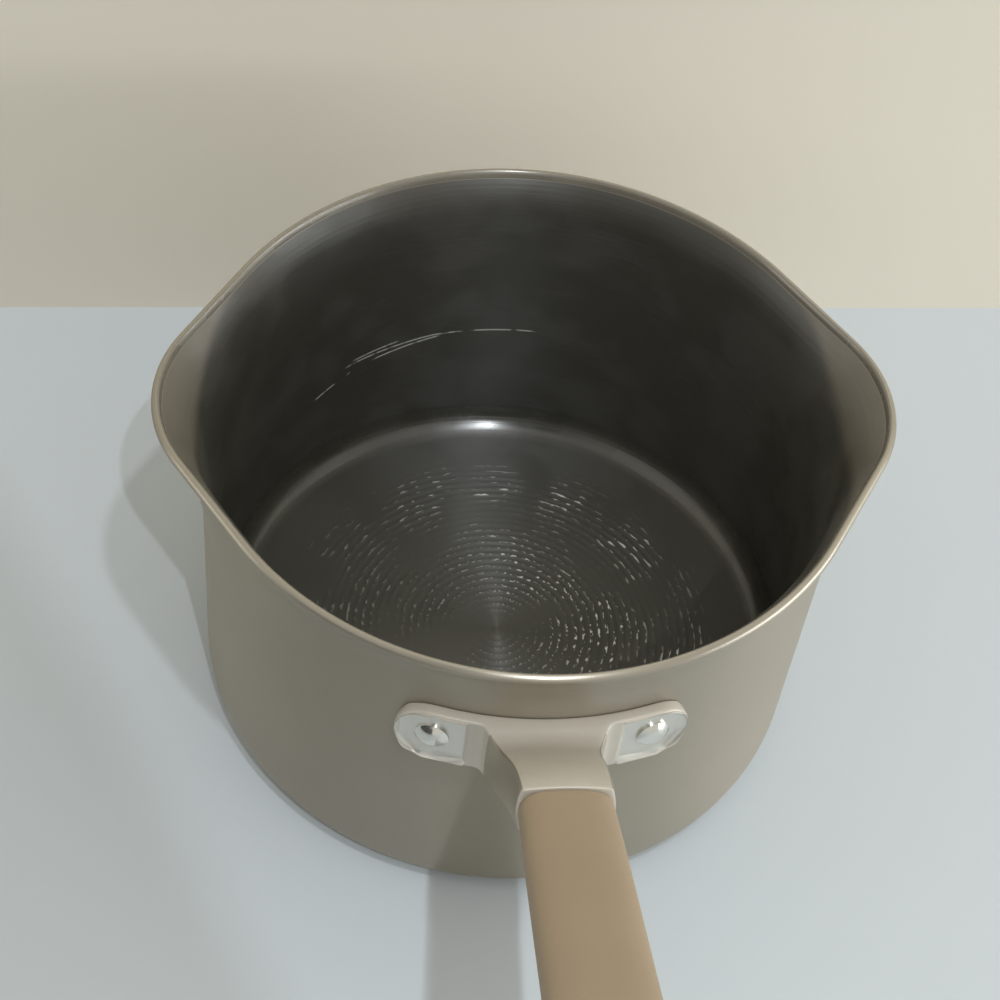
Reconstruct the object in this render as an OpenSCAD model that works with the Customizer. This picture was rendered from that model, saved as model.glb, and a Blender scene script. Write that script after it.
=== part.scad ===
// Saucepan with two pouring lips and one long riveted handle.
// Millimetres, Z up. The origin is the centre of the pan's underside.
// The handle points along -Y and the pouring lips are at +X and -X.

/* [Pan] */
// Height of the pan from underside to rim
pan_h = 123.6; // [90:0.2:150]
// Outside radius of the upright wall
wall_r = 98; // [80:0.5:120]
// Thickness of the wall with its lining
wall_t = 2.8; // [2:0.1:4]
// Thickness of the floor with its lining
base_t = 4.6; // [3:0.1:7]
// Outside radius of the rounded base edge
base_edge_r = 11; // [6:0.5:18]
// Inside radius between floor and wall
floor_edge_r = 9; // [5:0.5:14]

/* [Rim] */
// How far the rim stands out past the wall
rim_reach = 4; // [2:0.1:6]
// Height of the thick lip at the rim
rim_h = 2.4; // [1.5:0.1:4]
// How far the lip overhangs the flare below it
rim_lip = 0.7; // [0.3:0.1:1.2]
// Width of the lip seen from above
rim_band = 3.1; // [2.4:0.1:5]
// Height over which the wall flares below the lip
flare_h = 12; // [6:0.5:20]
// Chamfer on the edges of the lip
rim_chamfer = 0.6; // [0.2:0.1:1]

/* [Pouring lips] */
// Radius of the round end of a pouring lip at the rim
spout_r = 47.5; // [30:0.5:60]
// How far a pouring lip stands out past the rim
spout_reach = 10; // [5:0.5:14]
// Depth below the rim where a pouring lip fades into the wall
spout_drop = 40; // [25:1:60]
// How far a pouring lip's ends are sunk in the wall
spout_sink = 0.8; // [0.5:0.1:1.4]

/* [Lining] */
// Thickness of the lining
lining_t = 0.4; // [0.2:0.05:0.8]
// Fit gap between lining and metal
lining_gap = 0.1; // [0.05:0.01:0.2]

/* [Bracket] */
// Depth of the bracket's top edge below the start of the flare
plate_drop = 9.8; // [3:0.2:30]
// Height of the bracket's plate
plate_h = 22.8; // [16:0.2:30]
// Thickness of the bracket's plate
plate_t = 3.6; // [2.5:0.1:5]
// Angle from the handle to each rivet
rivet_angle = 18.2; // [12:0.1:24]
// Fit gap between bracket and wall
seat_gap = 0.15; // [0.05:0.05:0.3]
// Depth of the recess in each wing at the rivet
recess_depth = 1; // [0.4:0.1:1.6]
// Width of the edge left round each recess
recess_edge = 1.6; // [1:0.1:3]
// Length of a recess from the rivet towards the neck
recess_run = 13; // [10:0.5:20]

/* [Neck] */
// Width of the neck where it leaves the plate
neck_root_w = 36; // [30:0.5:44]
// Height of the neck where it leaves the plate
neck_root_h = 22.4; // [14:0.2:28]
// Width of the neck at the grip
neck_end_w = 26.5; // [22:0.5:34]
// Height of the neck at the grip
neck_end_h = 15; // [13:0.2:22]
// Rounding of the neck's end
neck_round = 1.2; // [0.4:0.1:2]
// Distance of the grip's start from the wall
neck_l = 40; // [30:0.5:45]
// Height of the grip's start above the bracket's middle
neck_lift = 28.8; // [10:0.2:32]
// Angle at which the handle rises
handle_rise = 21.5; // [10:0.5:26]

/* [Grip] */
// Length of the grip
grip_l = 150; // [110:1:180]
// Greatest width of the grip
grip_w = 29.5; // [25:0.5:34]
// Greatest height of the grip
grip_h = 17.6; // [15:0.2:24]
// Radius of the neck's peg inside the grip
peg_r = 4.8; // [4:0.1:5.5]
// Length of that peg
peg_l = 24; // [15:1:35]

/* [Rod and rivets] */
// Radius of the tie rod
rod_r = 2.5; // [2:0.1:3]
// Depth of the tie rod in the neck
rod_in_neck = 12; // [8:0.5:14]
// Depth of the tie rod in the hanging cap
rod_in_cap = 6; // [4:0.5:7]
// Fit gap all round pins and rods in their holes
pin_gap = 0.1; // [0.05:0.05:0.2]
// Radius of a rivet's shank
rivet_r = 2.5; // [2:0.1:3]
// Radius of a rivet's outer head
head_r = 5; // [4:0.1:6]
// Height of a rivet's outer head
head_h = 2.8; // [2:0.1:3.5]
// Height of the upright edge of that head
head_edge_h = 0.6; // [0.3:0.1:1]
// Radius of a rivet's inner head
inner_head_r = 5.5; // [4:0.1:7]
// Height of a rivet's inner head
inner_head_h = 1.4; // [1:0.1:2]

/* [Hanging cap] */
// Length of the hanging cap past the grip
cap_l = 24; // [20:0.5:30]
// Width of the hanging cap
cap_w = 25; // [20:0.5:28]
// Thickness of the hanging cap
cap_t = 11; // [8:0.5:13]
// Chamfer on the hanging cap's edges
cap_chamfer = 1; // [0.5:0.1:2]
// Radius of the hole to hang the pan by
hang_r = 4.5; // [3:0.1:5.5]

/* [Hidden] */

// How far a cut runs past the surface it cuts
over = 1;
// Segments of round shapes
$fn = 96;

// Rim
rim_r = wall_r + rim_reach;
lip_z = pan_h - rim_h;
flare_z = lip_z - flare_h;
flare_reach = rim_reach - rim_lip;
flare_r = (flare_h * flare_h + flare_reach * flare_reach) / (2 * flare_reach);
inner_r = wall_r - wall_t;
mouth_r = rim_r - rim_band;
mouth_reach = mouth_r - inner_r;
mouth_flare_r = (flare_h * flare_h + mouth_reach * mouth_reach) / (2 * mouth_reach);

// Pouring lips: the rim's tangents leave its circle at this angle from X
spout_offset = rim_r + spout_reach - spout_r;
spout_angle = acos((rim_r - spout_r) / spout_offset);
spout_turn = atan2(spout_r * sin(spout_angle), spout_offset + spout_r * cos(spout_angle));
spout_low_z = pan_h - spout_drop;
spout_steps = 14;
spout_levels = 7;
rim_steps = 60;

// Bracket and the grip's start
plate_z = flare_z - plate_drop - plate_h / 2;
plate_front_r = wall_r + seat_gap + plate_t;
grip_start_r = wall_r + neck_l;
grip_start_z = plate_z + neck_lift;

// Neck stations, root to end
neck_run_shares = [-0.08, 0.034, 0.131, 0.232, 0.341, 0.476, 0.619, 0.76, 0.894];
neck_lift_shares = [0, 0, 0.021, 0.095, 0.229, 0.415, 0.604, 0.771, 0.91];
neck_width_shares = [1.1, 0.84, 0.61, 0.43, 0.29, 0.19, 0.12, 0.05, 0.02];
neck_height_shares = [0.93, 0.89, 0.78, 0.68, 0.61, 0.61, 0.57, 0.43, 0.2];
neck_tilt_shares = [0, 0, 0.13, 0.31, 0.47, 0.55, 0.67, 0.8, 0.9];
neck_power = 3.2;
neck_run = grip_start_r - plate_front_r;

// Grip stations, neck to cap
grip_run_shares = [0, 0.02, 0.1, 0.25, 0.45, 0.62, 0.78, 0.9, 0.975, 1];
grip_width_shares = [0.83, 0.845, 0.88, 0.905, 0.925, 0.97, 1, 0.985, 0.94, 0.88];
grip_height_shares = [0.78, 0.83, 0.85, 0.9, 0.96, 1, 0.98, 0.88, 0.75, 0.66];
grip_power = 2.9;
section_steps = 40;

// Rivet seats, measured from the pan's axis along the rivet
rivet_seat = plate_front_r - recess_depth;
inner_seat = sqrt(inner_r * inner_r - inner_head_r * inner_head_r);
cap_round_s = cap_l - cap_w / 2;

// Outline of what is cut away outside a wing's round end
wing_steps = 28;
wing_arc = [for (i = [1:wing_steps - 1])
    let (a = 90 + i * 180 / wing_steps)
    [plate_h / 2 * cos(a), plate_h / 2 * sin(a)]];
wing_cut = concat(wing_arc,
    [[wing_arc[0][0], -plate_h], [-2 * plate_h, -plate_h],
     [-2 * plate_h, plate_h], [wing_arc[0][0], plate_h]]);

// Radius added by the flare of the wall's outside and inside at height z
function flare_out(z) = z <= flare_z ? 0 : flare_r - sqrt(flare_r * flare_r - pow(z - flare_z, 2));
function flare_in(z) = z <= flare_z ? 0
    : mouth_flare_r - sqrt(mouth_flare_r * mouth_flare_r - pow(z - flare_z, 2));

// How far the rim's outline stands outside its circle at angle a from X
function bulge(a) = abs(a) >= spout_angle ? 0
    : abs(a) >= spout_turn ? rim_r / cos(spout_angle - abs(a)) - rim_r
    : spout_offset * cos(a) + sqrt(spout_r * spout_r - pow(spout_offset * sin(a), 2)) - rim_r;

// One level of a pouring lip: its curve and two points inside the pan
function spout_ring(r, share, z) = concat(
    [for (i = [-spout_steps:spout_steps])
        let (a = i * spout_angle / spout_steps,
             q = r - spout_sink + share * bulge(a) * (1 + spout_sink / spout_reach))
        [q * cos(a), q * sin(a), z]],
    [[spout_offset * cos(spout_angle), spout_offset * sin(spout_angle), z],
     [spout_offset * cos(spout_angle), -spout_offset * sin(spout_angle), z]]);

// The rim's outline, turned in from its outer edge by a length
function rim_outline(inset) = [for (i = [0:2 * rim_steps - 1])
    let (a = i * 180 / rim_steps,
         b = a > 270 ? a - 360 : a > 90 ? a - 180 : a,
         q = rim_r - inset + bulge(b))
    [q * cos(a), q * sin(a)]];

// Closed section with rounded corners
function section(w, h, power) = [for (i = [0:section_steps - 1])
    let (a = i * 360 / section_steps)
    [w / 2 * sign(cos(a)) * pow(abs(cos(a)), 2 / power),
     h / 2 * sign(sin(a)) * pow(abs(sin(a)), 2 / power)]];

// A section stood across the handle at radius r and height z, leaning by an angle
function stood(r, z, w, h, lean) = [for (p = section(w, h, neck_power))
    [p[0], -r + p[1] * sin(lean), z + p[1] * cos(lean)]];

// Solid through a list of rings with equal numbers of points
module loft(rings) {
    n = len(rings[0]);
    m = len(rings);
    polyhedron(
        points = [for (ring = rings) each ring],
        faces = concat(
            [for (k = [0:m - 2]) for (i = [0:n - 1])
                each [[k * n + i, (k + 1) * n + i, (k + 1) * n + (i + 1) % n],
                      [k * n + i, (k + 1) * n + (i + 1) % n, k * n + (i + 1) % n]]],
            [[for (i = [0:n - 1]) i]],
            [[for (i = [n - 1:-1:0]) (m - 1) * n + i]]));
}

// Half outline of the pan's outside
module outside_half() {
    square([wall_r - base_edge_r, lip_z]);
    translate([0, base_edge_r])
        square([wall_r, lip_z - base_edge_r]);
    translate([wall_r - base_edge_r, base_edge_r])
        circle(r = base_edge_r);
    difference() {
        translate([inner_r, flare_z])
            square([wall_t + flare_reach, flare_h]);
        translate([wall_r + flare_r, flare_z])
            circle(r = flare_r, $fn = 4 * $fn);
    }
}

// Half outline of the hollow, grown by a length
module hollow_half(grow, top) {
    floor_z = base_t - grow;
    edge_r = floor_edge_r + grow;
    r = inner_r + grow;
    translate([0, floor_z])
        square([r - edge_r, top - floor_z]);
    translate([0, floor_z + edge_r])
        square([r, top - floor_z - edge_r]);
    translate([r - edge_r, floor_z + edge_r])
        circle(r = edge_r);
    difference() {
        translate([0, flare_z])
            square([r + mouth_reach, top - flare_z]);
        translate([r + mouth_flare_r, flare_z])
            circle(r = mouth_flare_r, $fn = 4 * $fn);
        translate([r + mouth_flare_r, flare_z - over])
            square([mouth_flare_r, top - flare_z + 2 * over]);
    }
}

// Both pouring lips as solids; flares as the wall's outside or inside
module spouts(r, outer, low_z) {
    for (side = [0, 1])
        mirror([side, 0, 0])
            loft([for (k = [0:spout_levels])
                let (share = k / spout_levels,
                     z = low_z + (lip_z - low_z) * share)
                spout_ring(r + (outer ? flare_out(z) : flare_in(z)), pow(share, 1.5), z)]);
}

// The hollow of the pan below its lip, grown by a length
module hollow(grow) {
    rotate_extrude()
        hollow_half(grow, lip_z);
    spouts(inner_r + grow, false, spout_low_z + wall_t);
}

// Slab with the rim's outline
module rim_slab(inset, z, h) {
    translate([0, 0, z])
        linear_extrude(height = h)
            polygon(rim_outline(inset));
}

// Everything that follows is placed at one rivet; side is -1 or 1
module at_rivet(side) {
    rotate([0, 0, side * rivet_angle])
        translate([0, 0, plate_z])
            rotate([90, 0, 0])
                children();
}

// Holes for the rivets through the wall
module rivet_holes() {
    for (side = [-1, 1])
        at_rivet(side)
            translate([0, 0, inner_seat - over])
                cylinder(r = rivet_r + pin_gap, h = plate_front_r - inner_seat + 2 * over);
}

module pan_body() {
    color("tan")
        difference() {
            union() {
                rotate_extrude()
                    outside_half();
                spouts(wall_r, true, spout_low_z);
                rim_slab(rim_chamfer, lip_z, rim_chamfer);
                rim_slab(0, lip_z + rim_chamfer, rim_h - 2 * rim_chamfer);
                rim_slab(rim_chamfer, pan_h - rim_chamfer, rim_chamfer);
            }
            hollow(lining_t + lining_gap);
            rim_slab(rim_band, lip_z - lining_gap, rim_h + over);
            rivet_holes();
        }
}

module nonstick_lining() {
    color("dimgray")
        difference() {
            intersection() {
                hollow(lining_t);
                cylinder(r = 2 * rim_r, h = lip_z - lining_gap);
            }
            hollow(0);
            translate([0, 0, lip_z - 2 * lining_gap])
                cylinder(r = mouth_r, h = over);
            rivet_holes();
        }
}

// Curved plate of the bracket with its round ends
module plate_blank() {
    sweep = 2 * rivet_angle;
    difference() {
        intersection() {
            translate([0, 0, plate_z - plate_h])
                difference() {
                    cylinder(r = plate_front_r, h = 2 * plate_h, $fn = 4 * $fn);
                    translate([0, 0, -over])
                        cylinder(r = wall_r + seat_gap, h = 2 * plate_h + 2 * over, $fn = 4 * $fn);
                }
            translate([0, 0, plate_z - plate_h / 2])
                linear_extrude(height = plate_h)
                    polygon([[0, 0],
                             [-2 * wall_r * sin(sweep), -2 * wall_r * cos(sweep)],
                             [2 * wall_r * sin(sweep), -2 * wall_r * cos(sweep)]]);
        }
        for (side = [-1, 1])
            at_rivet(side)
                mirror([side > 0 ? 1 : 0, 0, 0])
                    translate([0, 0, wall_r / 2])
                        linear_extrude(height = wall_r)
                            polygon(wing_cut);
    }
}

// Flat floored recess in one wing
module recess(side) {
    at_rivet(side)
        translate([0, 0, rivet_seat]) {
            cylinder(r = plate_h / 2 - recess_edge, h = plate_t);
            mirror([side > 0 ? 1 : 0, 0, 0])
                translate([0, recess_edge - plate_h / 2, 0])
                    cube([recess_run, plate_h - 2 * recess_edge, plate_t]);
        }
}

// Neck of the bracket, from inside the plate to the grip
module neck() {
    loft(concat(
        [for (k = [0:len(neck_run_shares) - 1])
            stood(plate_front_r + neck_run * neck_run_shares[k],
                  plate_z + neck_lift * neck_lift_shares[k],
                  neck_end_w + (neck_root_w - neck_end_w) * neck_width_shares[k],
                  neck_end_h + (neck_root_h - neck_end_h) * neck_height_shares[k],
                  handle_rise * neck_tilt_shares[k])],
        [for (q = [[1, 0], [0.35, 0.35], [0, 1]])
            stood(grip_start_r - q[0] * neck_round * cos(handle_rise),
                  grip_start_z - q[0] * neck_round * sin(handle_rise),
                  neck_end_w - q[1] * neck_round,
                  neck_end_h - q[1] * neck_round,
                  handle_rise)]));
}

// The handle's own frame: Z along the handle from the grip's start
module along_handle() {
    translate([0, -grip_start_r, grip_start_z])
        rotate([90 - handle_rise, 0, 0])
            children();
}

module handle_bracket() {
    color("silver")
        difference() {
            union() {
                difference() {
                    plate_blank();
                    recess(-1);
                    recess(1);
                }
                neck();
                along_handle()
                    translate([0, 0, -neck_round])
                        cylinder(r = peg_r, h = peg_l + neck_round);
            }
            along_handle()
                translate([0, 0, -rod_in_neck - pin_gap])
                    cylinder(r = rod_r + pin_gap, h = rod_in_neck + peg_l + over);
            rivet_holes();
        }
}

// One rivet: shank, round outer head and low inner head
module rivet(side) {
    dome_h = head_h - head_edge_h;
    dome_r = (head_r * head_r + dome_h * dome_h) / (2 * dome_h);
    low_r = (inner_head_r * inner_head_r + inner_head_h * inner_head_h) / (2 * inner_head_h);
    at_rivet(side) {
        translate([0, 0, inner_seat])
            cylinder(r = rivet_r, h = rivet_seat - inner_seat);
        translate([0, 0, rivet_seat])
            cylinder(r = head_r, h = head_edge_h);
        translate([0, 0, rivet_seat + head_edge_h])
            intersection() {
                translate([0, 0, dome_h - dome_r])
                    sphere(r = dome_r);
                cylinder(r = head_r, h = dome_h);
            }
        translate([0, 0, inner_seat - inner_head_h])
            intersection() {
                translate([0, 0, low_r])
                    sphere(r = low_r);
                cylinder(r = inner_head_r, h = inner_head_h);
            }
    }
}

module rivet_left() {
    color("gainsboro")
        rivet(-1);
}

module rivet_right() {
    color("gainsboro")
        rivet(1);
}

module handle_grip() {
    color("burlywood")
        along_handle()
            difference() {
                loft([for (k = [0:len(grip_run_shares) - 1])
                    [for (p = section(grip_w * grip_width_shares[k],
                                      grip_h * grip_height_shares[k], grip_power))
                        [p[0], p[1], grip_l * grip_run_shares[k]]]]);
                translate([0, 0, -over])
                    cylinder(r = peg_r + pin_gap, h = peg_l + over + pin_gap);
                translate([0, 0, -over])
                    cylinder(r = rod_r + pin_gap, h = grip_l + 2 * over);
            }
}

module tie_rod() {
    color("lightgray")
        along_handle()
            translate([0, 0, -rod_in_neck])
                cylinder(r = rod_r, h = rod_in_neck + grip_l + rod_in_cap);
}

// Flat outline of the hanging cap, turned in by a length
module cap_slab(inset, low, high) {
    rotate([90, 0, 0])
        translate([0, 0, low])
            linear_extrude(height = high - low) {
                translate([0, cap_round_s])
                    circle(r = cap_w / 2 - inset);
                translate([inset - cap_w / 2, 0])
                    square([cap_w - 2 * inset, cap_round_s]);
            }
}

module hanging_cap() {
    color("silver")
        along_handle()
            translate([0, 0, grip_l])
                difference() {
                    union() {
                        cap_slab(cap_chamfer, -cap_t / 2, cap_t / 2);
                        cap_slab(0, cap_chamfer - cap_t / 2, cap_t / 2 - cap_chamfer);
                    }
                    translate([0, 0, cap_round_s])
                        rotate([90, 0, 0])
                            cylinder(r = hang_r, h = cap_t + 2 * over, center = true);
                    translate([0, 0, -over])
                        cylinder(r = rod_r + pin_gap, h = rod_in_cap + pin_gap + over);
                }
}

pan_body();
nonstick_lining();
handle_bracket();
rivet_left();
rivet_right();
handle_grip();
tie_rod();
hanging_cap();
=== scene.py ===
# %% [markdown]
# # A saucepan with two pouring lips
# This lesson dresses a finished CAD model of a saucepan. The CAD solids give every size, and
# the meshes made here give the soft edges, the turned rings and the coats that a camera sees.
# Everything is in metres. The middle of the pan's underside is the origin, Z is up, the handle
# runs along -Y and the pouring lips stand at +X and -X.

import math

import bmesh
import bpy
from mathutils import Matrix, Vector


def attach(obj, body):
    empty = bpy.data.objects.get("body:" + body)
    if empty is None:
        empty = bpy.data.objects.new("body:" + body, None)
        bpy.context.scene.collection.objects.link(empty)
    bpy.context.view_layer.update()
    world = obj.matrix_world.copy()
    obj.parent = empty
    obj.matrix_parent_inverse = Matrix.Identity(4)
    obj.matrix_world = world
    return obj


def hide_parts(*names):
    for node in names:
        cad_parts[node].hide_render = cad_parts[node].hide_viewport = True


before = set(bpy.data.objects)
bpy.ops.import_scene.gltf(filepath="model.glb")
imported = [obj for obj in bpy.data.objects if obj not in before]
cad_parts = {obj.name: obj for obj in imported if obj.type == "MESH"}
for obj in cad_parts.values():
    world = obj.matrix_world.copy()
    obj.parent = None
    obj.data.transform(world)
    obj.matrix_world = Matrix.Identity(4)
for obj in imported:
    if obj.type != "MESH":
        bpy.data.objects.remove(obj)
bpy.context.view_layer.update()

# %% [markdown]
# The camera comes first, because every later choice is judged through it. Its place was worked
# out from the rim, the base and the wall in the picture: a 76 mm lens about 67 cm away, looking
# down at 51 degrees and tipped by 7.5 degrees. A target, a direction and a roll are easier to
# adjust than a matrix, so the matrix is built from them.

# %% Camera
SENSOR = 36
FOCAL_SHARE = 2.1
LOOK_FROM = math.radians(-9.47)
LOOK_DOWN = math.radians(50.56)
ROLL = math.radians(7.5)
DISTANCE = 0.665
TARGET = Vector((-0.00490, 0.00007, 0.07473))

back = Vector((math.sin(LOOK_FROM) * math.cos(LOOK_DOWN),
               -math.cos(LOOK_FROM) * math.cos(LOOK_DOWN), math.sin(LOOK_DOWN)))
level = Vector((math.cos(LOOK_FROM), math.sin(LOOK_FROM), 0))
upright = back.cross(level)
right = math.cos(ROLL) * level + math.sin(ROLL) * upright
up = back.cross(right)
camera_data = bpy.data.cameras.new("camera")
camera_data.sensor_width = SENSOR
camera_data.lens = SENSOR * FOCAL_SHARE
camera_data.clip_start = 0.01
camera = bpy.data.objects.new("camera", camera_data)
camera.matrix_world = Matrix.LocRotScale(
    TARGET + DISTANCE * back, Matrix((right, up, back)).transposed().to_quaternion(), None)
bpy.context.scene.collection.objects.link(camera)
bpy.context.scene.camera = camera
print("camera at", [round(c, 3) for c in camera.matrix_world.translation])

# %% [markdown]
# Shaders are easier to read as sums than as wires. Wire wraps one socket, so that `1 - mask`
# or `ring * 0.3` adds the Math nodes by itself. Finish is one material with its shader, and its
# one method `node` makes any other node from a type, its settings and its sockets.

# %% Shader helpers
class Wire:
    """One output socket that takes part in sums."""

    def __init__(self, tree, socket):
        self.tree, self.socket = tree, socket

    def maths(self, operation, *others, swap=False):
        node = self.tree.nodes.new("ShaderNodeMath")
        node.operation = operation
        values = [self, *others]
        for slot, value in zip(node.inputs, values[::-1] if swap else values):
            plug(self.tree, slot, value)
        return Wire(self.tree, node.outputs[0])

    def __add__(self, other): return self.maths("ADD", other)
    def __radd__(self, other): return self.maths("ADD", other)
    def __sub__(self, other): return self.maths("SUBTRACT", other)
    def __rsub__(self, other): return self.maths("SUBTRACT", other, swap=True)
    def __mul__(self, other): return self.maths("MULTIPLY", other)
    def __rmul__(self, other): return self.maths("MULTIPLY", other)

    def between(self, low, high):
        """0 below low, 1 above high, and a soft step between them."""
        node = self.tree.nodes.new("ShaderNodeMapRange")
        node.interpolation_type = "SMOOTHSTEP"
        node.inputs["From Min"].default_value = low
        node.inputs["From Max"].default_value = high
        plug(self.tree, node.inputs["Value"], self)
        return Wire(self.tree, node.outputs[0])


def plug(tree, slot, value):
    if isinstance(value, Wire):
        tree.links.new(value.socket, slot)
    else:
        slot.default_value = value


class Finish:
    """A material: its shader's fixed numbers go in by name, its changing ones as wires."""

    def __init__(self, name, **fixed):
        self.material = bpy.data.materials.new(name)
        self.material.use_nodes = True
        self.tree = self.material.node_tree
        self.tree.nodes.clear()
        self.shader = self.tree.nodes.new("ShaderNodeBsdfPrincipled")
        self.output = self.tree.nodes.new("ShaderNodeOutputMaterial")
        self.tree.links.new(self.shader.outputs[0], self.output.inputs[0])
        for socket, value in fixed.items():
            self.shader.inputs[socket.replace("_", " ")].default_value = value
        self.place = self.node("ShaderNodeTexCoord", out="Object")

    def node(self, kind, settings=None, sockets=None, out=0):
        node = self.tree.nodes.new(kind)
        for name, value in (settings or {}).items():
            setattr(node, name, value)
        for name, value in (sockets or {}).items():
            plug(self.tree, node.inputs[name], value)
        return Wire(self.tree, node.outputs[out])

    def split(self, vector):
        node = self.tree.nodes.new("ShaderNodeSeparateXYZ")
        plug(self.tree, node.inputs[0], vector)
        return [Wire(self.tree, socket) for socket in node.outputs]

    def stretched(self, scale):
        return self.node("ShaderNodeMapping", sockets={"Vector": self.place, "Scale": scale})

    def grain(self, vector, scale, detail=3.0, rough=0.5):
        return self.node("ShaderNodeTexNoise", sockets={
            "Vector": vector, "Scale": scale, "Detail": detail, "Roughness": rough})

    def blend(self, share, first, second):
        return self.node("ShaderNodeMix", {"data_type": "RGBA"},
                         {0: share, 6: first, 7: second}, out=2)

    def bump(self, height, depth, strength=1.0, under=None):
        sockets = {"Height": height, "Distance": depth, "Strength": strength}
        if under:
            sockets["Normal"] = under
        return self.node("ShaderNodeBump", sockets=sockets)

    def feed(self, **wires):
        for socket, wire in wires.items():
            plug(self.tree, self.shader.inputs[socket.replace("_", " ")], wire)
        return self.material


def colour(red, green, blue):
    """A picture colour from 0 to 255 as the linear colour a shader takes."""
    linear = [c / 255 / 12.92 if c < 10.3 else ((c / 255 + 0.055) / 1.055) ** 2.4
              for c in (red, green, blue)]
    return (*linear, 1.0)


print("a mid grey is", [round(c, 3) for c in colour(128, 128, 128)])

# %% [markdown]
# The outside of the pan is pressed aluminium under a thin satin champagne coat. The coat holds
# fine metal flakes, and the metal under it was turned, so very faint lines run round the wall.
# The rim's top edge is painted lighter as a painted highlight, and is smoother. The lines are
# noise stretched round the pan: quick in Z, slow in X and Y. The coat is nearly all metal, so the
# wall is a soft mirror of the table.

# %% Champagne coat
def champagne_coat():
    coat = Finish("champagne_coat", IOR=1.5, Anisotropic=0.7, Anisotropic_Rotation=0.25)
    z = coat.split(coat.place)[2]
    lines = coat.grain(coat.stretched((14, 14, 900)), 1.0, 2.0)
    flakes = coat.grain(coat.place, 2600, 1.0)
    patches = coat.grain(coat.place, 16, 3.0)
    rim_top_painted_highlight = z.between(0.1222, 0.1232)
    base = coat.blend(patches * 0.5 + flakes * 0.3, colour(157, 150, 136), colour(179, 172, 158))
    # painted highlight: the rim's top edge is painted lighter than the rest of the coat
    skin = coat.blend(rim_top_painted_highlight * 0.25, base, colour(206, 200, 188))
    return coat.feed(
        Base_Color=skin, Metallic=0.8,
        Roughness=0.38 + 0.08 * patches + 0.05 * lines - 0.14 * rim_top_painted_highlight,
        Normal=coat.bump(lines, 0.00006, 0.5, coat.bump(flakes, 0.00004, 0.35)))


# %% [markdown]
# The inside has a dark coat that is sprayed over a turned floor. The rings of the turning show
# through as fine grooves, strongest in the middle and gone near the edge. Finer ones, too small
# to draw, stretch a lamp's gloss into a streak across them, which is what Anisotropic does. The
# grooves' tops carry painted glints, short near-white dashes and specks, mostly at the right and
# the back. The pouring lips and the flare under the rim, which face up, are painted lighter as
# painted light, and the rim's roll is painted lighter still as a painted highlight. The coat is
# smoother on the rim and in the curve between floor and wall. A whisk left a few light scratches
# in the wall.

# %% Dark coat of the inside
RING_STEP = 0.0027
SCRATCHES = [
    # turn of its middle, height, slope, half length (the turns and lengths in radians)
    (2.203, 0.0433, -0.030, 0.085),
    (1.955, 0.0510, -0.0102, 0.20),
    (1.600, 0.0532, -0.0030, 0.20),
    (1.90, 0.0497, -0.016, 0.14),
    (2.02, 0.0520, -0.013, 0.10),
]


def dark_coat():
    coat = Finish("dark_coat", IOR=2.0, Anisotropic=0.8, Anisotropic_Rotation=0.25)
    x, y, z = coat.split(coat.place)
    radius = (x * x + y * y).maths("SQRT")
    angle = y.maths("ARCTAN2", x)
    floor = 1 - z.between(0.0052, 0.0075)
    wobble = coat.grain(coat.place, 70, 2.0) * 0.0011
    ring = ((radius + wobble) * (2 * math.pi / RING_STEP)).maths("SINE") * 0.5 + 0.5
    patch = coat.grain(coat.place, 42, 3.0).between(0.40, 0.62)
    curve = z.between(0.0046, 0.0054) * (1 - z.between(0.011, 0.015))
    smooth = curve + z.between(0.1209, 0.1214)
    reach = 1 - radius.between(0.060, 0.078)
    side = 0.25 + 0.75 * (x * 0.8 + y * 0.6).between(-0.005, 0.03)
    groove = ring * floor * reach * (0.12 + 0.88 * patch) * (0.4 + 0.6 * side)
    turned = coat.node("ShaderNodeCombineXYZ", sockets={"X": angle * 16, "Y": radius * 900})
    dashes = coat.grain(turned, 1.0, 1.0).between(0.55, 0.64)
    speck = coat.grain(coat.place, 420, 2.0, 0.6).between(0.62, 0.70)
    # painted glints: near-white dashes and specks on the grooves' tops stand in for highlights
    painted_glint = (dashes + speck * 0.5) * ring.between(0.6, 0.95) * floor * reach * patch * side
    lines = coat.grain(coat.stretched((9, 9, 700)), 1.0, 2.0)
    scratch = None
    for turn, height, slope, long in SCRATCHES:
        along = (angle - turn).maths("ABSOLUTE")
        off = (z - height - (angle - turn) * slope + wobble * 0.4).maths("ABSOLUTE")
        mark = (1 - off.between(0.0001, 0.0005)) * (1 - along.between(long * 0.8, long))
        scratch = mark if scratch is None else scratch + mark
    scratch = scratch * coat.grain(coat.place, 260, 2.0).between(0.35, 0.55)
    base = coat.blend(coat.grain(coat.place, 30, 3.0), colour(55, 54, 46), colour(65, 63, 54))
    # painted light: the upward-facing flare under the rim and the pouring lips are painted lighter
    flare_painted_lighter = coat.blend(radius.between(0.0984, 0.1008), base, colour(104, 98, 86))
    # painted highlight: the rim's roll is painted lighter still
    rim_roll_painted_highlight = coat.blend(z.between(0.1209, 0.1212), flare_painted_lighter, colour(126, 120, 107))
    # the painted glints and the real whisk scratches are both painted near white here
    light = coat.blend(painted_glint + scratch * 0.9, rim_roll_painted_highlight, colour(228, 226, 216))
    return coat.feed(
        Base_Color=light, Metallic=0.15,
        Roughness=0.38 + 0.10 * patch - 0.16 * smooth,
        Normal=coat.bump(lines, 0.0002, 0.6, coat.bump(groove, 0.0003, 0.5)))


# %% [markdown]
# The handle's bracket is a satin casting. Its wings are machined bright where the rivets sit,
# and the rivets are polished. These metals share one recipe: a colour that drifts a little, and
# a fine bump. The grip is matt tan plastic with a fine moulded grain.

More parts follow.
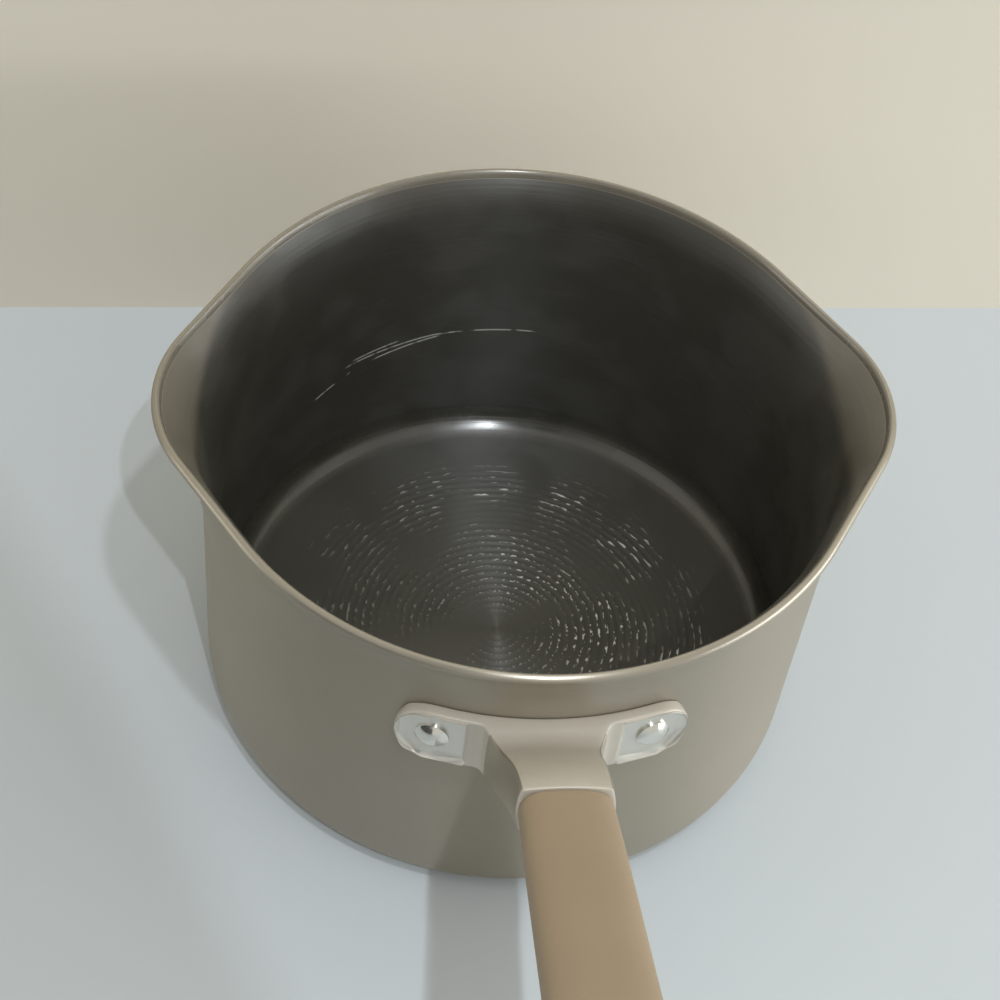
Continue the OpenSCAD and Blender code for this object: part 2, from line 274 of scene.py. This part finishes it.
# %% Small finishes
def satin_metal(name, dark, light, metallic, rough, depth):
    metal = Finish(name, IOR=1.5)
    grain = metal.grain(metal.place, 900, 2.0)
    drift = metal.grain(metal.place, 60, 3.0)
    return metal.feed(
        Base_Color=metal.blend(drift * 0.7 + grain * 0.3, dark, light), Metallic=metallic,
        Roughness=rough + 0.10 * drift, Normal=metal.bump(grain, depth, 0.6))


def tan_plastic():
    plastic = Finish("tan_plastic", IOR=1.46)
    grain = plastic.grain(plastic.place, 1500, 2.0)
    drift = plastic.grain(plastic.place, 28, 3.0)
    return plastic.feed(
        Base_Color=plastic.blend(drift, colour(154, 136, 112), colour(166, 148, 124)),
        Roughness=0.52 + 0.12 * drift, Normal=plastic.bump(grain, 0.00005, 0.6))


COAT = champagne_coat()
LINING = dark_coat()
CASTING = satin_metal("satin_casting", colour(190, 183, 170), colour(206, 200, 188),
                      metallic=0.2, rough=0.38, depth=0.00003)
MACHINED = satin_metal("machined_wing", colour(205, 204, 196), colour(226, 225, 218),
                       metallic=0.75, rough=0.26, depth=0.00001)
POLISHED = satin_metal("polished_rivet", colour(222, 221, 214), colour(238, 238, 232),
                       metallic=1.0, rough=0.10, depth=0.000005)
ROD = satin_metal("plain_rod", colour(170, 170, 170), colour(190, 190, 190),
                  metallic=1.0, rough=0.35, depth=0.00001)
TAN = tan_plastic()
print("finishes:", [m.name for m in bpy.data.materials if m.name[0].islower()])

# %% [markdown]
# Every mesh ends the same way: doubles merged, normals outwards, materials set, smooth faces
# with sharp edges kept above an angle, the piece hung on the root body, and the CAD node it
# stands for hidden.

# %% Finish a piece
def make_piece(name, mesh_in_work, materials, node, sharp=40, levels=0):
    bmesh.ops.remove_doubles(mesh_in_work, verts=mesh_in_work.verts, dist=1e-6)
    bmesh.ops.recalc_face_normals(mesh_in_work, faces=mesh_in_work.faces)
    mesh = bpy.data.meshes.new(name)
    mesh_in_work.to_mesh(mesh)
    mesh_in_work.free()
    for material in materials:
        mesh.materials.append(material)
    mesh.shade_smooth()
    mesh.set_sharp_from_angle(angle=math.radians(sharp))
    piece = bpy.data.objects.new(name, mesh)
    bpy.context.scene.collection.objects.link(piece)
    if levels:
        smoother = piece.modifiers.new("smoother", "SUBSURF")
        smoother.levels = smoother.render_levels = levels
    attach(piece, "root")
    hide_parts(node)
    print(name, len(mesh.polygons), "faces")


def spun(profile, steps):
    """A mesh turned round Z from a half outline of (radius, height) points."""
    turned = bmesh.new()
    points = [turned.verts.new((radius, 0, height)) for radius, height in profile]
    edges = [turned.edges.new(pair) for pair in zip(points, points[1:])]
    bmesh.ops.spin(turned, geom=points + edges, cent=(0, 0, 0), axis=(0, 0, 1),
                   dvec=(0, 0, 0), angle=2 * math.pi, steps=steps, use_merge=True)
    bmesh.ops.remove_doubles(turned, verts=turned.verts, dist=1e-6)
    return turned


def arc(centre, radius, start, end, steps):
    """Points on a round from one angle to another, in degrees."""
    turns = [math.radians(start + (end - start) * k / steps) for k in range(steps + 1)]
    return [(centre[0] + radius * math.cos(turn), centre[1] + radius * math.sin(turn))
            for turn in turns]


# %% [markdown]
# ## The pan
# A real pan is pressed from a disc, so a half outline turned round Z is the honest way to make
# it. The wall flares below the rim on an arc, and the rim is a thick rounded lip. The main
# sizes repeat the CAD model's.

# %% Sizes of the pan
HEIGHT, WALL_R, WALL_T, FLOOR_T = 0.1236, 0.098, 0.0028, 0.0046
RIM_R, MOUTH_R, LIP_Z, FLARE_Z = 0.102, 0.0989, 0.1212, 0.1092
INNER_R = WALL_R - WALL_T
OUTER_FLARE, BASE_ROUND, FLOOR_ROUND, RIM_ROUND = 0.0033, 0.011, 0.009, 0.0018
SPOUT_R, SPOUT_AT, SPOUT_LOW = 0.0475, 0.0645, 0.0836


def flare(height, reach):
    """How far an arc that starts upright at FLARE_Z has moved out at this height."""
    rise = max(0.0, min(height, LIP_Z) - FLARE_Z)
    full = LIP_Z - FLARE_Z
    bend = (full ** 2 + reach ** 2) / (2 * reach)
    return bend - math.sqrt(bend ** 2 - rise ** 2)


def outer(height):
    return WALL_R + flare(height, OUTER_FLARE)


def inner(height):
    return INNER_R + flare(height, MOUTH_R - INNER_R)


heights = [0.02 + 0.0042 * k for k in range(22)]
heights += [0.1095, 0.1112, 0.1130, 0.1150, 0.1170, 0.1188, 0.1202]
print("wall rows", len(heights), "rim flare", round(outer(LIP_Z) - WALL_R, 5))

# %% [markdown]
# A pouring lip is where the press pushed the wall out. Seen from above, each lip is an arc that
# joins the rim's circle along two tangents, so the bulge is worked out from those tangents.
# Down the wall it fades with a power of the height. Moving the turned mesh's vertices outwards
# by that amount keeps its neat rows.

# %% Pouring lips
SPOUT_ANGLE = math.acos((RIM_R - SPOUT_R) / SPOUT_AT)
SPOUT_TURN = math.atan2(SPOUT_R * math.sin(SPOUT_ANGLE),
                        SPOUT_AT + SPOUT_R * math.cos(SPOUT_ANGLE))
SPOUT_FADE = 1.5


def bulge(angle):
    """How far a lip stands out of the rim's circle, at an angle from the lip's middle."""
    angle = abs(angle)
    if angle >= SPOUT_ANGLE:
        return 0.0
    if angle >= SPOUT_TURN:
        return RIM_R / math.cos(SPOUT_ANGLE - angle) - RIM_R
    return (SPOUT_AT * math.cos(angle)
            + math.sqrt(SPOUT_R ** 2 - (SPOUT_AT * math.sin(angle)) ** 2) - RIM_R)


def press_spouts(turned, low):
    for vertex in turned.verts:
        share = min(1.0, max(0.0, (vertex.co.z - low) / (LIP_Z - low))) ** SPOUT_FADE
        if share > 0:
            radius = math.hypot(vertex.co.x, vertex.co.y)
            angle = math.atan2(vertex.co.y, abs(vertex.co.x))
            grown = (radius + share * bulge(angle)) / radius
            vertex.co.x *= grown
            vertex.co.y *= grown


print("a pouring lip spans", round(2 * math.degrees(SPOUT_ANGLE)), "degrees and stands out",
      round(bulge(0) * 1000, 1), "mm")

# %% [markdown]
# The shell's outline runs from the middle of the underside, up the outside, over the lip and
# down the inside to the middle of the floor, so the turned shell is closed. The lip rolls over
# into the inside on a curve with one control point. The dark coat was sprayed over this roll
# too, so only the lip's outer round shows the champagne coat.

# %% Pan shell
LINING_T, LINING_GAP = 0.0004, 0.0001
ROLL_WIDE, ROLL_BEND, ROLL_STEPS = 0.0013, 0.0005, 8
COAT_END_R = 0.1001
TURNED_STEPS = 240
behind = LINING_T + LINING_GAP
outline = [(0, 0), (0.02, 0), (0.045, 0), (0.07, 0)]
outline += arc((WALL_R - BASE_ROUND, BASE_ROUND), BASE_ROUND, -90, 0, 10)
outline += [(outer(z), z) for z in heights] + [(outer(LIP_Z), LIP_Z)]
outline += arc((RIM_R - RIM_ROUND, HEIGHT - RIM_ROUND), RIM_ROUND, -15, 90, 9)
for step in range(1, ROLL_STEPS + 1):
    left = 1 - step / ROLL_STEPS
    outline.append((MOUTH_R + ROLL_WIDE * left ** 2 + ROLL_BEND * 2 * left * (1 - left),
                    LIP_Z + (HEIGHT - LIP_Z) * (1 - (1 - left) ** 2)))
outline += [(inner(LIP_Z) + behind, LIP_Z - LINING_GAP)]
outline += [(inner(z) + behind, z) for z in reversed(heights)]
outline += arc((INNER_R - FLOOR_ROUND, FLOOR_T + FLOOR_ROUND), FLOOR_ROUND + behind, 0, -90, 8)
outline += [(0.05, FLOOR_T - behind), (0, FLOOR_T - behind)]
shell = spun(outline, TURNED_STEPS)
for face in shell.faces:
    centre = face.calc_center_median()
    rolled = centre.z > LIP_Z + LINING_GAP and math.hypot(centre.x, centre.y) < COAT_END_R
    face.material_index = int(rolled)
press_spouts(shell, SPOUT_LOW)
make_piece("pan_shell", shell, [COAT, LINING], "pan_body")

# %% [markdown]
# The coat of the inside is a skin of its own, because it has its own colour and its own rings.
# It ends just under the lip's roll, which belongs to the shell.

# %% Lining
lining_top = LIP_Z - 0.00003
skin = [(radius, FLOOR_T) for radius in (0, 0.02, 0.04, 0.06, 0.075)]
skin += arc((INNER_R - FLOOR_ROUND, FLOOR_T + FLOOR_ROUND), FLOOR_ROUND, -90, 0, 12)
skin += [(inner(z), z) for z in heights]
skin += [(inner(LIP_Z), lining_top), (inner(LIP_Z) + LINING_T, lining_top)]
skin += [(inner(z) + LINING_T, z) for z in reversed(heights)]
skin += arc((INNER_R - FLOOR_ROUND, FLOOR_T + FLOOR_ROUND), FLOOR_ROUND + LINING_T, 0, -90, 8)
skin += [(0.04, FLOOR_T - LINING_T), (0, FLOOR_T - LINING_T)]
lining = spun(skin, TURNED_STEPS)
press_spouts(lining, SPOUT_LOW + WALL_T)
make_piece("pan_lining", lining, [LINING], "nonstick_lining")

# %% [markdown]
# ## The bracket
# The bracket is one casting: a plate bent to the wall with a rounded wing at each side, and a
# broad neck that grows out of its middle. A subdivision cage suits it, because all its edges
# are soft. The cage starts as a flat grid, as if the plate were unrolled: X runs along the
# wall, Y up it, and Z is the distance from the wall.

# %% Bracket plate, unrolled
PLATE_Z, PLATE_H, PLATE_T, SEAT_R = 0.0880, 0.0228, 0.0036, 0.09815
RIVET_TURN = math.radians(18.2)
BEND_R = 0.100
NECK_X, WING_X = 0.0176, 0.0205
rivet_x = BEND_R * RIVET_TURN
across = [0, 0.005, 0.010, 0.0145, NECK_X, WING_X, 0.0245, 0.028, rivet_x]
ends = [0.30, 0.58, 0.80, 0.93, 1.0]
upward = [0.0, 0.42, 0.78, 0.93, 1.0]
columns = len(across) + len(ends) - 1
rows = len(upward) - 1
plate = bmesh.new()
bmesh.ops.create_grid(plate, x_segments=2 * columns, y_segments=2 * rows, size=1)
side_layer = plate.verts.layers.float.new("side")
rise_layer = plate.verts.layers.float.new("rise")
for vertex in plate.verts:
    column = round(abs(vertex.co.x) * columns)
    row = round(abs(vertex.co.y) * rows)
    side = math.copysign(1, vertex.co.x)
    rise = math.copysign(upward[row], vertex.co.y)
    if column < len(across):
        x, y = across[column], rise * PLATE_H / 2
    else:
        out = ends[column - len(across)]
        x = rivet_x + PLATE_H / 2 * out * math.sqrt(1 - rise ** 2 / 2)
        y = PLATE_H / 2 * rise * math.sqrt(1 - out ** 2 / 2)
    vertex.co = (side * x, y, 0)
    vertex[side_layer] = side * min(1.0, x / NECK_X)
    vertex[rise_layer] = rise
print("plate grid", len(plate.faces), "faces,", len(plate.verts), "corners")

# %% [markdown]
# Extruding the grid gives the plate its thickness. Two insets in each wing leave a thin raised
# edge and a floor that is machined flat.

# %% Thickness and wing recesses
EDGE_W, RECESS_W, RECESS_DEPTH = 0.0011, 0.0006, 0.0009
grown = bmesh.ops.extrude_face_region(plate, geom=list(plate.faces))["geom"]
front_corners = [g for g in grown if isinstance(g, bmesh.types.BMVert)]
bmesh.ops.translate(plate, verts=front_corners, vec=(0, 0, PLATE_T))
bmesh.ops.recalc_face_normals(plate, faces=plate.faces)
front = [f for f in plate.faces if f.normal.z > 0.9 and f.calc_center_median().z > PLATE_T / 2]
for side in (-1, 1):
    wing = [f for f in front if side * f.calc_center_median().x > WING_X]
    bmesh.ops.inset_region(plate, faces=wing, thickness=EDGE_W, use_even_offset=True)
    bmesh.ops.inset_region(plate, faces=wing, thickness=RECESS_W, depth=-RECESS_DEPTH,
                           use_even_offset=True)
    for face in wing:
        face.material_index = 1
print("bright faces", sum(f.material_index for f in plate.faces))

# %% [markdown]
# Now the plate is bent round the wall, and the faces in its middle are pulled out as the neck.
# Each step of the neck is a rounded rectangle at its own distance, height and lean. The plate's
# corners remember how far across and up they were, and the new corners inherit that, so each
# step is placed by those two shares. The neck's sides take the pan's darker coat as painted
# shade on the neck's flanks.

# %% Bend the plate and pull the neck
for vertex in plate.verts:
    turn = vertex.co.x / BEND_R
    radius = SEAT_R + vertex.co.z
    vertex.co = (radius * math.sin(turn), -radius * math.cos(turn), PLATE_Z + vertex.co.y)

GRIP_R, GRIP_Z, HANDLE_RISE = 0.138, 0.1168, math.radians(21.5)
NECK_FOOT_R, SIDEWAYS = 0.1035, 0.75
neck_steps = [
    # distance, height, width, tall, lean share, roundness
    (0.1030, 0.0881, 0.0336, 0.0218, 0.0, 0.05),
    (0.1065, 0.0886, 0.0314, 0.0210, 0.13, 0.15),
    (0.1101, 0.0907, 0.0299, 0.0202, 0.31, 0.24),
    (0.1141, 0.0946, 0.0290, 0.0197, 0.47, 0.28),
    (0.1190, 0.0999, 0.0283, 0.0196, 0.55, 0.30),
    (0.1242, 0.1054, 0.0277, 0.0193, 0.67, 0.32),
    (0.1293, 0.1102, 0.0272, 0.0183, 0.8, 0.33),
    (0.1341, 0.1142, 0.0269, 0.0167, 0.9, 0.34),
    (0.1371, 0.1163, 0.0267, 0.0154, 1.0, 0.34),
    (0.1378, 0.1167, 0.0265, 0.0150, 1.0, 0.34),
    (0.1380, 0.1168, 0.0252, 0.0138, 1.0, 0.34),
]
middle = [f for f in front if f.is_valid and abs(f.calc_center_median().x) < NECK_X
          and f.material_index == 0]
for distance, height, wide, tall, lean, round_share in neck_steps:
    pulled = bmesh.ops.extrude_face_region(plate, geom=middle)["geom"]
    bmesh.ops.delete(plate, geom=middle, context="FACES_KEEP_BOUNDARY")
    middle = [g for g in pulled if isinstance(g, bmesh.types.BMFace)]
    tip = HANDLE_RISE * lean
    for vertex in {v for f in middle for v in f.verts}:
        a, b = vertex[side_layer], vertex[rise_layer]
        px = a * (1 - round_share + round_share * math.sqrt(1 - b * b / 2))
        pz = b * (1 - round_share + round_share * math.sqrt(1 - a * a / 2))
        vertex.co = (px * wide / 2, -distance + pz * tall / 2 * math.sin(tip),
                     height + pz * tall / 2 * math.cos(tip))
plate.normal_update()
# painted shade: the neck's side faces get the darker coat
for face in plate.faces:
    if abs(face.normal.x) > SIDEWAYS and face.calc_center_median().y < -NECK_FOOT_R:
        face.material_index = 2
make_piece("bracket_casting", plate, [CASTING, MACHINED, COAT], "handle_bracket",
           sharp=180, levels=3)

# %% [markdown]
# ## Rivets
# A rivet is turned: a low dome with a small upright edge outside, a shank, and a flatter head
# inside the pan. Both are the same outline, turned and then set on the wall.

# %% Rivets
RIVET_SEAT, INNER_SEAT, SHANK_R = 0.10075, 0.09504, 0.0025
HEAD_R, HEAD_H, HEAD_EDGE, DOME_R = 0.0050, 0.0028, 0.0007, 0.0068
TAIL_R, TAIL_H, TAIL_DOME_R = 0.0055, 0.0014, 0.0115
rivet_outline = arc((0, RIVET_SEAT + HEAD_H - DOME_R), DOME_R, 90, 48, 8)
rivet_outline += [(HEAD_R, RIVET_SEAT + HEAD_EDGE), (HEAD_R, RIVET_SEAT)]
rivet_outline += [(SHANK_R, RIVET_SEAT), (SHANK_R, INNER_SEAT), (TAIL_R, INNER_SEAT)]
rivet_outline += arc((0, INNER_SEAT - TAIL_H + TAIL_DOME_R), TAIL_DOME_R, -61.5, -90, 8)
for name, side in (("rivet_left", -1), ("rivet_right", 1)):
    turned = spun(rivet_outline, 48)
    place = (Matrix.Rotation(side * RIVET_TURN, 4, "Z") @ Matrix.Translation((0, 0, PLATE_Z))
             @ Matrix.Rotation(math.radians(90), 4, "X"))
    bmesh.ops.transform(turned, matrix=place, verts=turned.verts)
    make_piece(name + "_turned", turned, [POLISHED], name, sharp=50)

# %% [markdown]
# ## The grip
# The grip is moulded, broad on top with rounded sides, and swells a little towards the hand.
# A ring of corners is extruded along the handle and set to a rounded section at each step.
# Only the first part shows in the picture; the rest follows what such grips are like.

# %% Grip
GRIP_L, GRIP_W, GRIP_H, SQUARENESS = 0.150, 0.0295, 0.0176, 2.9
handle_place = Matrix.Translation((0, -GRIP_R, GRIP_Z)) @ Matrix.Rotation(
    math.radians(90) - HANDLE_RISE, 4, "X")
# share of the length, share of the width, share of the height
grip_steps = [(0.0, 0.83, 0.78), (0.003, 0.845, 0.83), (0.02, 0.85, 0.835), (0.10, 0.88, 0.85),
              (0.25, 0.905, 0.90), (0.45, 0.925, 0.96), (0.62, 0.97, 1.0), (0.78, 1.0, 0.98),
              (0.90, 0.985, 0.88), (0.975, 0.94, 0.75), (0.995, 0.90, 0.68), (1.0, 0.88, 0.66)]


def rounded_section(angle, wide, tall):
    """A point of a section between an ellipse and a rectangle."""
    c, s = math.cos(angle), math.sin(angle)
    return (wide / 2 * math.copysign(abs(c) ** (2 / SQUARENESS), c),
            tall / 2 * math.copysign(abs(s) ** (2 / SQUARENESS), s))


grip_mesh = bmesh.new()
turn_layer = grip_mesh.verts.layers.float.new("turn")
ring = bmesh.ops.create_circle(grip_mesh, segments=56, radius=1)["verts"]
for vertex in grip_mesh.verts:
    vertex[turn_layer] = math.atan2(vertex.co.y, vertex.co.x)
for step, (share, wide, tall) in enumerate(grip_steps):
    if step:
        pulled = bmesh.ops.extrude_edge_only(grip_mesh, edges=ring_edges)["geom"]
        ring = [g for g in pulled if isinstance(g, bmesh.types.BMVert)]
    for vertex in ring:
        x, y = rounded_section(vertex[turn_layer], wide * GRIP_W, tall * GRIP_H)
        vertex.co = (x, y, share * GRIP_L)
    ring_set = set(ring)
    ring_edges = [e for e in grip_mesh.edges if ring_set.issuperset(e.verts)]
    if step == 0:
        first_edges = list(ring_edges)
for end in (first_edges, ring_edges):
    bmesh.ops.contextual_create(grip_mesh, geom=end)
bmesh.ops.transform(grip_mesh, matrix=handle_place, verts=grip_mesh.verts)
make_piece("grip_moulding", grip_mesh, [TAN], "handle_grip", sharp=60, levels=1)

# %% [markdown]
# ## The hanging cap
# The end of the handle is a flat metal cap with a hole. Two rings of corners are bridged into a
# flat plate, the plate is extruded, and its edges are bevelled.

# %% Hanging cap
CAP_W, CAP_T, HOLE_AT, HOLE_R, CAP_BEVEL = 0.0248, 0.0108, 0.0115, 0.0045, 0.001
CAP_STEPS = 72
TINY = 1e-6
cap = bmesh.new()
outside_ring = bmesh.ops.create_circle(cap, segments=CAP_STEPS, radius=CAP_W / 2)["verts"]
for vertex in outside_ring:
    turn = math.atan2(vertex.co.y, vertex.co.x)
    x, y = vertex.co.x, HOLE_AT + vertex.co.y
    if turn < -TINY:
        walk = -turn / math.pi * (2 * HOLE_AT + CAP_W)
        if walk < HOLE_AT:
            x, y = CAP_W / 2, HOLE_AT - walk
        elif walk < HOLE_AT + CAP_W:
            x, y = CAP_W / 2 - (walk - HOLE_AT), 0
        else:
            x, y = -CAP_W / 2, walk - HOLE_AT - CAP_W
    vertex.co = (x, y, 0)
outside_edges = list(cap.edges)
hole_ring = bmesh.ops.create_circle(cap, segments=CAP_STEPS, radius=HOLE_R)["verts"]
bmesh.ops.translate(cap, verts=hole_ring, vec=(0, HOLE_AT, 0))
hole_edges = [e for e in cap.edges if e not in outside_edges]
bmesh.ops.bridge_loops(cap, edges=outside_edges + hole_edges)
grown = bmesh.ops.extrude_face_region(cap, geom=list(cap.faces))["geom"]
top_corners = [g for g in grown if isinstance(g, bmesh.types.BMVert)]
bmesh.ops.translate(cap, verts=top_corners, vec=(0, 0, CAP_T))
bmesh.ops.translate(cap, verts=cap.verts, vec=(0, 0, -CAP_T / 2))
bmesh.ops.recalc_face_normals(cap, faces=cap.faces)
rims = [e for e in cap.edges if len(e.link_faces) == 2 and e.calc_face_angle(0) > 1.2
        and abs(abs(e.verts[0].co.z) - CAP_T / 2) < TINY
        and abs(e.verts[0].co.z - e.verts[1].co.z) < TINY]
bmesh.ops.bevel(cap, geom=rims, offset=CAP_BEVEL, segments=4, profile=0.5, affect="EDGES",
                material=-1)
lie = handle_place @ Matrix.Translation((0, 0, GRIP_L)) @ Matrix.Rotation(math.radians(90), 4, "X")
bmesh.ops.transform(cap, matrix=lie, verts=cap.verts)
make_piece("cap_casting", cap, [CASTING], "hanging_cap")

# %% [markdown]
# The tie rod stays as the CAD made it, inside the grip, and only gets its finish.

# %% Tie rod
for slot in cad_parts["tie_rod"].material_slots:
    slot.material = ROD

# %% [markdown]
# ## Table, wall and light
# The pan stands on a smooth pale table in front of a beige wall. Two lamps in front of the pan
# and a little to its right, one steep and one flatter, throw the handle's shadow to the same
# side. A card in the air shades the near left corner of the table, and an upright card keeps the
# pan's left side darker. Low windows at both sides light the pan's wall more than the table, and
# an even warm sky fills the shadows. The wall's back is clear to a camera behind it, so the pan
# can be looked at from all sides.

# %% Stage
WALL_Y, WALL_TURN, SHEET = 0.1577, math.radians(0.9), 3.0
UPRIGHT = Matrix.Rotation(math.radians(90), 4, "X")


def stage_sheet(name, size, place, finish):
    sheet = bmesh.new()
    bmesh.ops.create_grid(sheet, x_segments=1, y_segments=1, size=size)
    bmesh.ops.transform(sheet, matrix=place, verts=sheet.verts)
    mesh = bpy.data.meshes.new(name)
    sheet.to_mesh(mesh)
    sheet.free()
    mesh.materials.append(finish)
    piece = bpy.data.objects.new(name, mesh)
    bpy.context.scene.collection.objects.link(piece)


def turned_at(place, turn):
    return Matrix.Translation(place) @ Matrix.Rotation(turn, 4, "Z")


table = Finish("pale_table", Roughness=0.45)
table_top = table.feed(Base_Color=table.blend(table.grain(table.place, 3, 2.0),
                                              colour(206, 214, 220), colour(212, 220, 226)))
wall = Finish("beige_wall", Roughness=0.8)
wall_face = wall.feed(Base_Color=wall.blend(wall.grain(wall.place, 2, 2.0),
                                            colour(228, 221, 205), colour(233, 226, 211)))
from_behind = (wall.node("ShaderNodeNewGeometry", out="Backfacing")
               * wall.node("ShaderNodeLightPath", out="Is Camera Ray"))
clear = wall.node("ShaderNodeBsdfTransparent")
one_sided = wall.node("ShaderNodeMixShader", sockets={
    0: from_behind, 1: Wire(wall.tree, wall.shader.outputs[0]), 2: clear})
plug(wall.tree, wall.output.inputs[0], one_sided)
stage_sheet("table", SHEET, Matrix.Identity(4), table_top)
stage_sheet("wall", SHEET, turned_at((0, WALL_Y, SHEET), WALL_TURN) @ UPRIGHT, wall_face)
card = Finish("grey_card", Roughness=0.9)
card_face = card.feed(Base_Color=card.blend(card.grain(card.place, 8),
                                            colour(70, 70, 74), colour(78, 78, 82)))
stage_sheet("high_card", 0.3, turned_at((-0.2213, -0.7917, 1.0), math.radians(-63.2)), card_face)
stage_sheet("upright_card", 0.17, turned_at((-0.48, -0.55, 0.18), math.radians(-50)) @ UPRIGHT
            @ Matrix.Diagonal((2, 1, 1, 1)), card_face)
print("wall at", WALL_Y)

# %% [markdown]
# A lamp is placed, aimed and sized. The two keys are small and cool, so that their shadows have
# an edge, and the windows are wide.

# %% Lamps and sky
HANDLE_FOOT, PAN_MIDDLE = (0, -0.1, 0.05), (0, 0, 0.06)
COOL, PALE_COOL, PALE_WARM = (0.90, 0.95, 1.0), (0.95, 0.98, 1.0), (1.0, 0.99, 0.95)
lamps = [
    # name, place, aim, width, height, watts, tint
    ("high_key", (0.165, -0.505, 1.55), HANDLE_FOOT, 0.05, 0.05, 4.0, COOL),
    ("low_key", (0.20, -1.254, 2.05), HANDLE_FOOT, 0.03, 0.03, 9, COOL),
    ("right_window", (1.76, -0.50, 0.24), PAN_MIDDLE, 1.8, 0.45, 14, PALE_COOL),
    ("left_window", (-1.8, 0.1, 0.35), PAN_MIDDLE, 0.8, 0.6, 2, PALE_WARM),
]
SKY_TINT, SKY_STRENGTH = (1.0, 0.97, 0.90, 1), 0.64


def soft_lamp(name, place, aim, wide, tall, power, tint):
    data = bpy.data.lights.new(name, "AREA")
    data.shape = "ELLIPSE"
    data.size, data.size_y, data.energy, data.color = wide, tall, power, tint
    lamp = bpy.data.objects.new(name, data)
    lamp.location = place
    lamp.rotation_euler = (Vector(aim) - Vector(place)).to_track_quat("-Z", "Y").to_euler()
    bpy.context.scene.collection.objects.link(lamp)


for lamp_row in lamps:
    soft_lamp(*lamp_row)
world = bpy.data.worlds.new("even_sky")
world.use_nodes = True
sky = world.node_tree.nodes["Background"]
sky.inputs["Color"].default_value = SKY_TINT
sky.inputs["Strength"].default_value = SKY_STRENGTH
bpy.context.scene.world = world
bpy.context.scene.view_settings.view_transform = "Standard"
